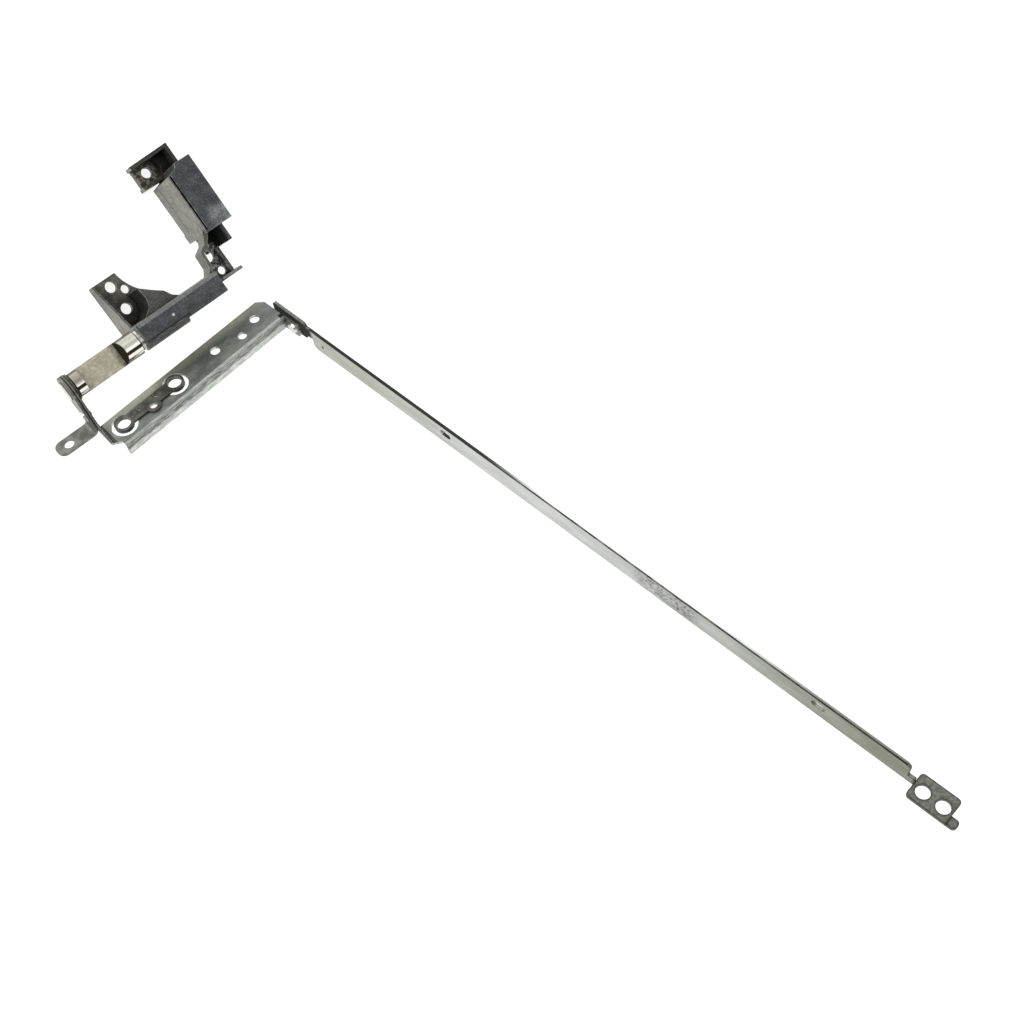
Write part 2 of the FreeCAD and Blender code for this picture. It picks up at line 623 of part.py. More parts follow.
cut(shaft, upper_flat, "4 * shaft_r", ahead=True)
lower_flat = box(shaft, "lower_tenon_flat", "XZ", "-2 * shaft_r", TIP_X + " - peen_h", "-2 * shaft_r",
                 "plate_x + spacer_t", "-tenon_h")
cut(shaft, lower_flat, "4 * shaft_r", ahead=True)
staked = circles(shaft, "staked_head", "YZ", TIP_X, [("0", "0", "tenon_r + peen_w")])
pad(shaft, staked, "peen_h")
for name, low, high in [("staked_top", "tenon_h + peen_w", "2 * shaft_r"),
                        ("staked_bottom", "-2 * shaft_r", "-tenon_h - peen_w")]:
    trim = box(shaft, name, "YZ", TIP_X, "-2 * shaft_r", low, "2 * shaft_r", high)
    cut(shaft, trim, "peen_h", ahead=True)

# washers
thrust = new_body("thrust_washer", AXIS)
thrust_ring = circles(thrust, "ring", "YZ", "collar_x1", [("0", "0", "thrust_r"), ("0", "0", SLEEVE_IN)])
pad(thrust, thrust_ring, "mount_x0 - collar_x1 - thrust_gap")
spacer = new_body("ear_washer", AXIS)
spacer_ring = circles(spacer, "ring", "YZ", "plate_x", [
    ("0", "0", "spacer_r"),
    ("0", "0", "tenon_r + seat_fit"),
])
pad(spacer, spacer_ring, "spacer_t")


def tenon_hole(body, sheet, hole_place, flat_place):
    """Double-D hole for the staked tenon; its flats turn with the lid."""
    hole = circles(body, "tenon_hole", "YZ", hole_place, [("0", "0", "tenon_r + seat_fit")])
    cut(body, hole, sheet)
    for name, low, high in [("tenon_flat_up", "tenon_h + seat_fit", "shaft_r"),
                            ("tenon_flat_down", "-shaft_r", "-tenon_h - seat_fit")]:
        fill = box(body, name, "YZ", flat_place, "-tenon_r", low, "tenon_r", high)
        pad(body, fill, sheet, back=True)


def edges_through(shape, spots):
    """Names of the straight edges that pass through the given points."""
    names = []
    for spot in spots:
        vertex = Part.Vertex(FreeCAD.Vector(*spot))
        for number, edge in enumerate(shape.Edges, 1):
            if edge.Curve.TypeId == "Part::GeomLine" and edge.distToShape(vertex)[0] < NEAR:
                names.append("Edge%d" % number)
    return names


def rivet(name, place, grip, shank, rim, dome):
    """Turned rivet with a flat head at both ends, along its own X."""
    body = new_body(name, place)
    half = outline(body, "half", "XY", "0", [
        ("-" + dome, "0"),
        ("-" + dome, shank + " + " + rim + " / 2"),
        ("0", shank + " + " + rim),
        ("0", shank),
        (grip, shank),
        (grip, shank + " + " + rim),
        (grip + " + " + dome, shank + " + " + rim + " / 2"),
        (grip + " + " + dome, "0"),
    ])
    turn(body, half, "H_Axis")
    return body


def size(name):
    return dims.get(name)


# tab bracket, outside the ear
strap = new_body("tab_bracket", LID)
STRAP_X = "plate_x - ear_t"
FLATS = "rotation(vector(0; 0; 1); 0 - lid_tilt))"
strap_head = circles(strap, "head", "YZ", STRAP_X, [("0", "0", "head_r")])
pad(strap, strap_head, "strap_t", back=True)
strap_leg = outline(strap, "leg", "YZ", STRAP_X, [
    ("-head_r", "0"),
    ("strap_y0", "strap_z + 2 * bend_r"),
    ("strap_y0", "strap_z - strap_t"),
    ("strap_y1", "strap_z - strap_t"),
    ("strap_y1", "strap_z + 2 * bend_r"),
    ("head_r * cos(30 deg)", "-head_r * sin(30 deg)"),
    ("0", "0"),
])
pad(strap, strap_leg, "strap_t", back=True)
strap_tab = box(strap, "tab", "XY", "strap_z", STRAP_X, "strap_y0", "strap_x1", "strap_y1")
pad(strap, strap_tab, "strap_t", back=True)
round_corners(strap, "tab_rounds", strap_tab, [1, 2], "strap_round")
strap_mid = (size("strap_y0") + size("strap_y1")) / 2
strap_out = size("plate_x") - size("ear_t") - size("strap_t")
bend_in = edges_through(strap.Tip.Shape, [(strap_out, strap_mid, size("strap_z"))])
soften(strap, "bend_inside", bend_in, "bend_r")
bend_out = edges_through(strap.Tip.Shape, [
    (strap_out + size("strap_t"), strap_mid, size("strap_z") - size("strap_t")),
])
soften(strap, "bend_outside", bend_out, "bend_r + strap_t")
strap_hole = circles(strap, "screw_hole", "XY", "strap_z", [
    ("strap_hole_x", "(strap_y0 + strap_y1) / 2", "strap_hole_r"),
])
cut(strap, strap_hole, "strap_t")
tenon_hole(strap, "strap_t", STRAP_X, "placement(vector(0; 0; " + STRAP_X + "); " + FLATS)
strap_rivet = circles(strap, "rivet_hole", "YZ", STRAP_X, [
    ("ear_rivet_y", "ear_rivet_z", "ear_rivet_r + seat_fit"),
])
cut(strap, strap_rivet, "strap_t")

# lid plate: one folded sheet with ear, stiffening flange and rail tab
plate = new_body("lid_plate", PLATE)
EAR = "placement(vector(0; 0; 0); rotation(vector(0; 1; 0); 0 - lid_splay))"
EAR_HEAD = EAR + " * placement(vector(0 - plate_y; 0 - plate_z; 0); rotation(vector(0; 0; 1); 0))"
EAR_FLATS = EAR + " * placement(vector(0 - plate_y; 0 - plate_z; 0); " + FLATS
LEFT = "0 - ear_t / cos(lid_splay * 1 deg)"
sheet = outline(plate, "sheet", "XY", "0", [
    (LEFT, "0"),
    ("plate_x1 - plate_cut", "0"),
    ("plate_x1", "-plate_cut"),
    ("plate_x1", "relief_y"),
    ("relief_x", "relief_y"),
    ("relief_x", "plate_front"),
    ("flange_x0", "plate_front"),
    ("flange_x0", "plate_front + 2 * ear_t"),
    (LEFT + " + plate_foot_y * tan(lid_splay * 1 deg)", "plate_foot_y"),
])
pad(plate, sheet, "ear_t", back=True)
flange = box(plate, "flange", "XY", "0", "flange_x0", "plate_front", "relief_x", "plate_front + ear_t")
pad(plate, flange, "0 - flange_z", back=True)
flange_end = box(plate, "flange_end", "XY", "tab_z1", "relief_x - ear_t", "plate_front", "rail_x",
                 "plate_front + ear_t")
pad(plate, flange_end, "tab_z1 - flange_z", back=True)
tab = box(plate, "rail_tab", "YZ", "rail_x", "tab_front", "tab_z0", "plate_front + ear_t", "tab_z1")
pad(plate, tab, "ear_t", back=True)
round_corners(plate, "tab_rounds", tab, [0, 3], "corner_r")
head = circles(plate, "ear_head", "YZ", EAR_HEAD, [("0", "0", "head_r")])
pad(plate, head, "ear_t", back=True)
ear = outline(plate, "ear", "YZ", EAR_HEAD, [
    ("-head_r", "0"),
    ("ear_knee_y", "ear_knee_z"),
    ("ear_front_y", "plate_z"),
    ("ear_front_y", "plate_z - ear_t"),
    ("plate_y", "plate_z - ear_t"),
    ("plate_y", "plate_z"),
    ("head_r * cos(30 deg)", "-head_r * sin(30 deg)"),
    ("0", "0"),
])
pad(plate, ear, "ear_t", back=True)
fold_mid = (size("flange_x0") + size("relief_x")) / 2
fold = edges_through(plate.Tip.Shape, [(fold_mid, size("plate_front"), 0)])
soften(plate, "fold", fold, "fold_r")
plate_holes = circles(plate, "plate_holes", "XY", "0", [
    ("hole_x1", "hole_y", "hole_r"),
    ("slot_x", "slot_y", "slot_r"),
    ("hole_x3", "hole_y", "hole_r"),
    ("eye_x1", "eye_y", "eye_hole_r"),
    ("eye_x2", "eye_y", "eye_hole_r"),
    ("link_rivet_x1", "link_rivet_y", "link_rivet_r + seat_fit"),
    ("link_rivet_x2", "link_rivet_y", "link_rivet_r + seat_fit"),
    ("lobe_x", "lobe_y", "lobe_hole_r"),
])
cut(plate, plate_holes, "2 * ear_t")
tenon_hole(plate, "ear_t", EAR_HEAD, EAR_FLATS)
ear_rivet_hole = circles(plate, "ear_rivet_hole", "YZ", EAR_HEAD, [
    ("ear_rivet_y", "ear_rivet_z", "ear_rivet_r + seat_fit"),
])
cut(plate, ear_rivet_hole, "ear_t")
rail_rivet_hole = circles(plate, "rail_rivet_hole", "YZ", "rail_x", [
    ("rail_rivet_y", "rail_rivet_z", "rail_rivet_r + seat_fit"),
])
cut(plate, rail_rivet_hole, "ear_t")

# screw link: strap with two drawn eyelets
link = new_body("screw_link", PLATE)
strip = box(link, "strip", "XY", "0", "eye_x1", "link_y0", "eye_x2", "link_y1")
pad(link, strip, "link_t")
lobe = circles(link, "lobe", "XY", "0", [("lobe_x", "lobe_y", "lobe_r")])
pad(link, lobe, "link_t")
eyes = [("eye_x1", "eye_y"), ("eye_x2", "eye_y")]
collars = circles(link, "collars", "XY", "eye_down", [(across, up, "eye_r") for across, up in eyes])
pad(link, collars, "eye_up - eye_down")
link_holes = circles(link, "link_holes", "XY", "link_t", [
    ("lobe_x", "lobe_y", "lobe_hole_r"),
    ("link_rivet_x1", "link_rivet_y", "link_rivet_r + seat_fit"),
    ("link_rivet_x2", "link_rivet_y", "link_rivet_r + seat_fit"),
])
cut(link, link_holes, "link_t")
eye_bores = circles(link, "eye_bores", "XY", "eye_up", [(across, up, "eye_bore_r") for across, up in eyes])
cut(link, eye_bores, "eye_up - eye_down")

# panel rail: one strip on edge with a head, and an end plate folded flat
rail = new_body("lid_rail", RAIL)
upright = outline(rail, "upright", "YZ", "rail_x", [
    ("head_y1", "head_z0"),
    ("head_y1", "head_z1"),
    ("head_y0", "head_z1"),
    ("head_y0", "rail_z1"),
    ("rail_end", "rail_z1"),
    ("rail_end", "foot_neck_z"),
    ("foot_neck_y", "foot_neck_z"),
    ("foot_neck_y", "rail_z0"),
    ("neck_y0", "rail_z0"),
    ("neck_y0", "neck_z0"),
    ("head_y0", "neck_z0"),
    ("head_y0", "head_z0"),
])
pad(rail, upright, "rail_t")
round_corners(rail, "head_rounds", upright, [2], "head_round")
round_corners(rail, "small_rounds", upright, [0, 1, 11], "corner_r")
round_corners(rail, "end_rounds", upright, [4, 8], "rail_round")
foot = box(rail, "foot", "XY", "rail_z0", "foot_x0", "foot_y0", "foot_x1", "foot_neck_y")
pad(rail, foot, "rail_t")
neck = box(rail, "foot_neck", "XY", "rail_z0", "rail_x", "foot_neck_y - rail_t",
           "rail_x + rail_t", "rail_end")
pad(rail, neck, "rail_t")
round_corners(rail, "foot_rounds", foot, [1, 2, 3], "corner_r")
tongue = box(rail, "tongue", "XY", "rail_z0 - tongue_drop", "foot_x0 + tongue_in", "tongue_y0", "tongue_x1",
             "foot_y0 + rail_t")
pad(rail, tongue, "rail_t")
round_corners(rail, "tongue_rounds", tongue, [0, 1], "corner_r")
foot_holes = circles(rail, "foot_holes", "XY", "rail_z0 + rail_t", [
    ("foot_hole_x", "foot_hole_y1", "foot_hole_r"),
    ("foot_hole_x", "foot_hole_y1 - foot_pitch", "foot_hole_r"),
])
cut(rail, foot_holes, "rail_t")
side_holes = circles(rail, "side_holes", "YZ", "rail_x + rail_t", [
    ("pip_y", "pip_z", "pip_r"),
    ("rail_rivet_y", "rail_rivet_z", "rail_rivet_r + seat_fit"),
])
cut(rail, side_holes, "rail_t")
for name, spot in [("first_obround", "obround_y1"), ("second_obround", "obround_y2")]:
    middle = box(rail, name, "YZ", "rail_x + rail_t", spot + " - obround_half", "obround_z - obround_r",
                 spot + " + obround_half", "obround_z + obround_r")
    cut(rail, middle, "rail_t")
    for end, sign in [("_low", " - "), ("_high", " + ")]:
        arc = circles(rail, name + end, "YZ", "rail_x + rail_t", [
            (spot + sign + "obround_half", "obround_z", "obround_r"),
        ])
        cut(rail, arc, "rail_t")

# rivets
rivet("ear_rivet", LID + " * placement(vector(plate_x - ear_t - strap_t; ear_rivet_y; ear_rivet_z);"
      " rotation(vector(0; 0; 1); 0))", "ear_t + strap_t", "ear_rivet_r", "rivet_head", "rivet_dome")
rivet("rail_rivet", PLATE + " * placement(vector(rail_x - ear_t; rail_rivet_y; rail_rivet_z);"
      " rotation(vector(0; 0; 1); 0))", "ear_t + 2 * rail_gap + rail_t", "rail_rivet_r",
      "rail_rivet_head", "rail_rivet_dome")
pair = []
for name, spot in [("link_rivet_a", "link_rivet_x1"), ("link_rivet_b", "link_rivet_x2")]:
    place = (PLATE + " * placement(vector(" + spot + "; link_rivet_y; 0 - ear_t);"
             + " rotation(vector(0; 1; 0); 0 - 90))")
    pair.append(rivet(name, place, "ear_t + link_t", "link_rivet_r", "rivet_head", "link_rivet_dome"))
rivets = doc.addObject("Part::Compound", "link_rivets")
rivets.Label = "link_rivets"
rivets.Links = pair
doc.recompute()

# write each piece
NODES = ["base_casting", "friction_sleeve", "retaining_pin", "hinge_shaft", "thrust_washer", "ear_washer",
         "tab_bracket", "lid_plate", "ear_rivet", "screw_link", "link_rivets", "lid_rail", "rail_rivet"]
for item in doc.Objects:
    if "Invalid" in item.State or "Error" in item.State:
        raise RuntimeError(item.Name + ": " + item.getStatusString())
os.makedirs("parts", exist_ok=True)
for name in NODES:
    shape = doc.getObject(name).Shape
    if shape.isNull() or not shape.isValid():
        raise RuntimeError(name + " has no valid shape")
    shape.exportStep("parts/" + name + ".step")
    print(name, len(shape.Solids), "solids", round(shape.Volume, 1), "mm3")
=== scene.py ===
import math

import bpy
from mathutils import Matrix, Vector

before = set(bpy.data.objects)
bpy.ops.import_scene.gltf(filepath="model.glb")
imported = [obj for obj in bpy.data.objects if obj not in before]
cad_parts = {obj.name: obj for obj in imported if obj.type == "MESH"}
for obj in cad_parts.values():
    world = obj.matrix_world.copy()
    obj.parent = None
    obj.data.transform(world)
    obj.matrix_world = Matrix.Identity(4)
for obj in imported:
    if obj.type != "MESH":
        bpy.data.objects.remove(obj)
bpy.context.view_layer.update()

# units and directions of the row frame; places below are in millimetres of that frame, colours are linear
MM = 1000.0
AXIS_X = (1.0, 0.0, 0.0)
AXIS_Y = (0.0, 1.0, 0.0)
AXIS_Z = (0.0, 0.0, 1.0)
BACK_X = (-1.0, 0.0, 0.0)
WHITE = (1.0, 1.0, 1.0)
# painted shade laid in the narrow gaps between stacked sheets
JOINT_SHADE = (0.010, 0.010, 0.009)

# the lid side at rest: turned about the hinge, and its sheets splayed in the lid's own plane
LID_TURN = math.radians(-45.0)
PLATE_SPLAY = math.radians(4.16)
RAIL_SPLAY = math.radians(4.16 - 0.37)
LID_ORIGIN = (-27.67, -24.78, 14.415)
RAIL_FACE = 29.87


def turned(direction, splay):
    """A direction of a lid sheet, brought to the row frame."""
    turn = Matrix.Rotation(LID_TURN, 3, "X") @ Matrix.Rotation(splay, 3, "Z")
    return tuple(turn @ Vector(direction))


def opposite(direction):
    return tuple(-part for part in direction)


LID_Z = turned(AXIS_Z, 0.0)
PLATE_X = turned(AXIS_X, PLATE_SPLAY)
PLATE_Y = turned(AXIS_Y, PLATE_SPLAY)
RAIL_X = turned(AXIS_X, RAIL_SPLAY)
RAIL_Y = turned(AXIS_Y, RAIL_SPLAY)
FOLD_OUT = tuple((Vector(LID_Z) - Vector(PLATE_Y)).normalized())


class Graph:
    """A node tree with short helpers; a value is a socket, a number or a colour."""

    def __init__(self, owner):
        owner.use_nodes = True
        self.tree = owner.node_tree
        self.tree.nodes.clear()

    def add(self, kind, **settings):
        node = self.tree.nodes.new(kind)
        for key, value in settings.items():
            setattr(node, key, value)
        return node

    def feed(self, socket, value):
        if isinstance(value, bpy.types.NodeSocket):
            self.tree.links.new(value, socket)
        elif isinstance(value, tuple) and socket.type == "RGBA":
            socket.default_value = value + (1.0,)
        else:
            socket.default_value = value

    def calc(self, operation, first, second):
        node = self.add("ShaderNodeMath", operation=operation)
        self.feed(node.inputs[0], first)
        self.feed(node.inputs[1], second)
        return node.outputs[0]

    def times(self, first, *others):
        for other in others:
            first = self.calc("MULTIPLY", first, other)
        return first

    def most(self, first, *others):
        for other in others:
            first = self.calc("MAXIMUM", first, other)
        return first

    def rest(self, share):
        """What a share leaves of 1."""
        return self.calc("SUBTRACT", 1.0, share)

    def remap(self, value, start, end, low=0.0, high=1.0, kind="LINEAR"):
        """Start to end becomes low to high, held at both ends."""
        node = self.add("ShaderNodeMapRange", interpolation_type=kind)
        self.feed(node.inputs["Value"], value)
        node.inputs["From Min"].default_value = start
        node.inputs["From Max"].default_value = end
        node.inputs["To Min"].default_value = low
        node.inputs["To Max"].default_value = high
        return node.outputs["Result"]

    def rise(self, value, start, end):
        """0 up to start, 1 from end on, smooth between."""
        return self.remap(value, start, end, kind="SMOOTHSTEP")

    def fall(self, value, start, end):
        """1 up to start, 0 from end on, smooth between."""
        return self.remap(value, start, end, 1.0, 0.0, "SMOOTHSTEP")

    def span(self, share, low, high):
        """A share of 0 to 1 becomes low to high."""
        return self.remap(share, 0.0, 1.0, low, high)

    def mix(self, share, first, second, blend="MIX"):
        node = self.add("ShaderNodeMix", data_type="RGBA", blend_type=blend)
        self.feed(node.inputs[0], share)
        self.feed(node.inputs[6], first)
        self.feed(node.inputs[7], second)
        return node.outputs[2]

    def close(self, kind, surface):
        self.feed(self.add(kind).inputs["Surface"], surface)


class Paint(Graph):
    """One procedural material, laid out by place and by the way a face looks."""

    PLAIN_GLOSS = 0.5
    BUMP_STRENGTH = 0.5
    RAY_SAMPLES = 6

    def __init__(self, name):
        self.material = bpy.data.materials.new(name)
        super().__init__(self.material)
        coords = self.add("ShaderNodeTexCoord")
        self.normal = coords.outputs["Normal"]
        scaled = self.add("ShaderNodeVectorMath", operation="SCALE")
        self.feed(scaled.inputs[0], coords.outputs["Object"])
        scaled.inputs["Scale"].default_value = MM
        self.place = scaled.outputs[0]

    def dot(self, first, second):
        node = self.add("ShaderNodeVectorMath", operation="DOT_PRODUCT")
        self.feed(node.inputs[0], first)
        self.feed(node.inputs[1], second)
        return node.outputs["Value"]

    def along(self, direction, origin=(0.0, 0.0, 0.0)):
        """How far a point lies from the origin along a direction."""
        shift = Vector(direction).dot(Vector(origin))
        return self.calc("SUBTRACT", self.dot(self.place, direction), shift)

    def facing(self, direction, low=0.75, high=0.95):
        return self.rise(self.dot(self.normal, direction), low, high)

    def within(self, value, low, high, soft):
        return self.times(self.rise(value, low - soft, low), self.fall(value, high, high + soft))

    def zone(self, low, high, soft):
        """1 inside a box between two corners, with a soft border outside it."""
        axes = (AXIS_X, AXIS_Y, AXIS_Z)
        return self.times(*[self.within(self.along(axes[i]), low[i], high[i], soft) for i in range(3)])

    def noise(self, grain, detail, turn=0.0):
        """Noise with cells of the grain's size, along axes turned about X."""
        mapping = self.add("ShaderNodeMapping", vector_type="TEXTURE")
        self.feed(mapping.inputs["Vector"], self.place)
        mapping.inputs["Rotation"].default_value = (turn, 0.0, 0.0)
        mapping.inputs["Scale"].default_value = grain if isinstance(grain, tuple) else (grain,) * 3
        texture = self.add("ShaderNodeTexNoise")
        self.feed(texture.inputs["Vector"], mapping.outputs["Vector"])
        texture.inputs["Scale"].default_value = 1.0
        texture.inputs["Detail"].default_value = detail
        return texture.outputs["Fac"]

    def patches(self, grain, detail, low, high, turn=0.0):
        """Soft-edged patches: 0 where the noise is under low, 1 where it is over high."""
        return self.rise(self.noise(grain, detail, turn), low, high)

    def lay(self, colour, share, tone, strength=1.0):
        """A tone laid over the colour where the share is 1."""
        if strength < 1.0:
            share = self.times(share, strength)
        return self.mix(share, colour, tone)

    def shade(self, colour, level):
        return self.mix(1.0, colour, level, blend="MULTIPLY")

    def speckle(self, colour, share, level, strength):
        """The colour made lighter or darker by a level where the share is 1."""
        return self.lay(colour, share, self.shade(colour, (level,) * 3), strength)

    def edges(self, width, low=0.80, high=0.97):
        """1 on sharp edges, 0 on open faces."""
        bevel = self.add("ShaderNodeBevel", samples=self.RAY_SAMPLES)
        bevel.inputs["Radius"].default_value = width / MM
        level = self.add("ShaderNodeNewGeometry").outputs["Normal"]
        return self.fall(self.dot(bevel.outputs["Normal"], level), low, high)

    def open_air(self, reach):
        """1 on open faces, 0 deep in a corner."""
        node = self.add("ShaderNodeAmbientOcclusion", samples=self.RAY_SAMPLES)
        node.inputs["Distance"].default_value = reach / MM
        return node.outputs["AO"]

    # painted shade: the colour darkened where little open air is left, deep in corners and hollows
    def corner_shade(self, colour, air, low, high, darkest):
        return self.shade(colour, self.span(self.rise(air, low, high), darkest, 1.0))

    def outer_edges(self, width, air):
        """1 on sharp edges that stand free."""
        return self.times(self.edges(width), self.rise(air, 0.45, 0.75))

    def finish(self, colour, metallic, roughness, height, depth, gloss=PLAIN_GLOSS):
        """Close the material; the height is a bump of the given depth."""
        shader = self.add("ShaderNodeBsdfPrincipled")
        self.feed(shader.inputs["Base Color"], colour)
        self.feed(shader.inputs["Metallic"], metallic)
        self.feed(shader.inputs["Roughness"], roughness)
        self.feed(shader.inputs["Specular IOR Level"], gloss)
        bump = self.add("ShaderNodeBump")
        bump.inputs["Strength"].default_value = self.BUMP_STRENGTH
        bump.inputs["Distance"].default_value = depth / MM
        self.feed(bump.inputs["Height"], height)
        self.feed(shader.inputs["Normal"], bump.outputs["Normal"])
        self.close("ShaderNodeOutputMaterial", shader.outputs["BSDF"])
        return self.material


# casting: each zone has a low corner, a high corner and a soft border
CASTING_ZONES = {
    "rear_wall": ((-5.6, -9.0, -0.1), (-4.2, 7.0, 16.0), 0.1),
    "wall_top": ((-5.6, -9.0, 3.0), (-4.2, 7.0, 16.0), 0.1),
    "bend": ((19.5, -8.3, 11.0), (26.0, 1.5, 19.2), 0.2),
    "back_edge": ((-4.4, -9.3, 21.3), (23.0, -8.0, 21.8), 0.25),
    "worn_top": ((30.5, 1.0, 21.0), (34.0, 5.0, 22.0), 2.4),
    "web": ((-5.5, -8.6, 17.5), (16.0, 3.0, 18.3), 0.3),
    "arm": ((20.0, -7.8, 18.0), (29.0, 2.0, 19.6), 0.3),
    "mount_floor": ((-6.0, -9.0, 1.0), (9.0, 7.0, 2.6), 0.3),
    "tray_floor": ((23.0, 19.0, -1.0), (35.0, 28.0, 6.0), 0.2),
    "ledge": ((21.0, -12.0, 11.0), (31.0, 0.8, 13.4), 0.2),
    "well": ((-1.6, -8.35, 2.5), (11.0, 3.0, 17.7), 0.15),
    "notch": ((26.6, 17.6, 2.2), (31.0, 20.9, 21.2), 0.2),
    "floor_end": ((23.5, 19.0, -0.1), (24.0, 28.0, 1.8), 0.1),
    "barrel_front": ((-5.0, -16.5, 10.0), (9.5, -13.9, 21.4), 0.2),
    "seam": ((-4.6, -14.1, 20.9), (9.3, -13.4, 21.7), 0.15),
    "fin": ((24.0, -12.4, 13.2), (31.0, -11.0, 16.4), 0.1),
    "tray_tops": ((23.6, 19.5, 2.1), (34.7, 27.2, 12.0), 0.1),
    "tray_walls": ((23.6, 20.5, 2.1), (33.65, 26.2, 12.0), 0.1),
    "tray_end": ((23.6, 20.5, 1.5), (33.65, 26.2, 12.0), 0.1),
    "step_shadow": ((26.3, 3.0, 5.4), (26.6, 18.0, 6.4), 0.15),
    "pocket": ((28.0, -4.2, 1.0), (33.6, 17.3, 20.6), 0.1),
}
# casting: the dark and the light tone of each mottled surface; the paler side and darker top tones are
# painted light and shade on one casting, the well tones are painted shade
CASTING_TONES = {
    "side": ((0.125, 0.123, 0.100), (0.200, 0.198, 0.168)),
    "top": ((0.040, 0.045, 0.050), (0.068, 0.075, 0.080)),
    "web": ((0.050, 0.053, 0.048), (0.082, 0.084, 0.073)),
    "mount_floor": ((0.042, 0.040, 0.032), (0.105, 0.100, 0.080)),
    "tray_floor": ((0.040, 0.038, 0.028), (0.235, 0.226, 0.170)),
    "ledge": ((0.050, 0.050, 0.045), (0.300, 0.295, 0.265)),
    "well": ((0.005, 0.006, 0.007), (0.016, 0.016, 0.015)),
    "barrel_front": ((0.095, 0.097, 0.095), (0.012, 0.012, 0.013)),
}
# casting: the tone of each overlay and how strongly it covers; among them are scuffs, painted shade in
# the groove under the box's top and in the pocket, and painted highlight in the glint and on the bright
# worn edges
CASTING_OVERLAYS = {
    "rear_wall": ((0.070, 0.069, 0.057), 0.90),
    "wall_top": ((0.050, 0.050, 0.044), 0.90),
    "bend": ((0.105, 0.104, 0.088), 0.70),
    "back_edge": ((0.190, 0.198, 0.195), 0.75),
    "worn_top": ((0.200, 0.215, 0.230), 1.00),
    "arm": ((0.095, 0.094, 0.080), 1.00),
    "notch": ((0.016, 0.016, 0.014), 0.90),
    "floor_end": ((0.050, 0.048, 0.040), 0.70),
    "seam": ((0.010, 0.010, 0.011), 0.85),
    "fin": ((0.210, 0.208, 0.188), 0.80),
    "tray_walls": ((0.034, 0.033, 0.025), 0.80),
    "tray_end": ((0.010, 0.010, 0.010), 0.90),
    "step_shadow": ((0.020, 0.020, 0.017), 0.92),
    "pocket": ((0.008, 0.009, 0.010), 1.00),
    "scuff": ((0.340, 0.340, 0.330), 0.16),
    "glint": ((0.300, 0.310, 0.320), 1.00),
    "bare_edge": ((0.440, 0.440, 0.410), 1.00),
}
WALL_TOP_OUT = (0.0, 0.6, 0.8)
TRAY_TOP_OUT = (-0.2, 0.0, 0.98)


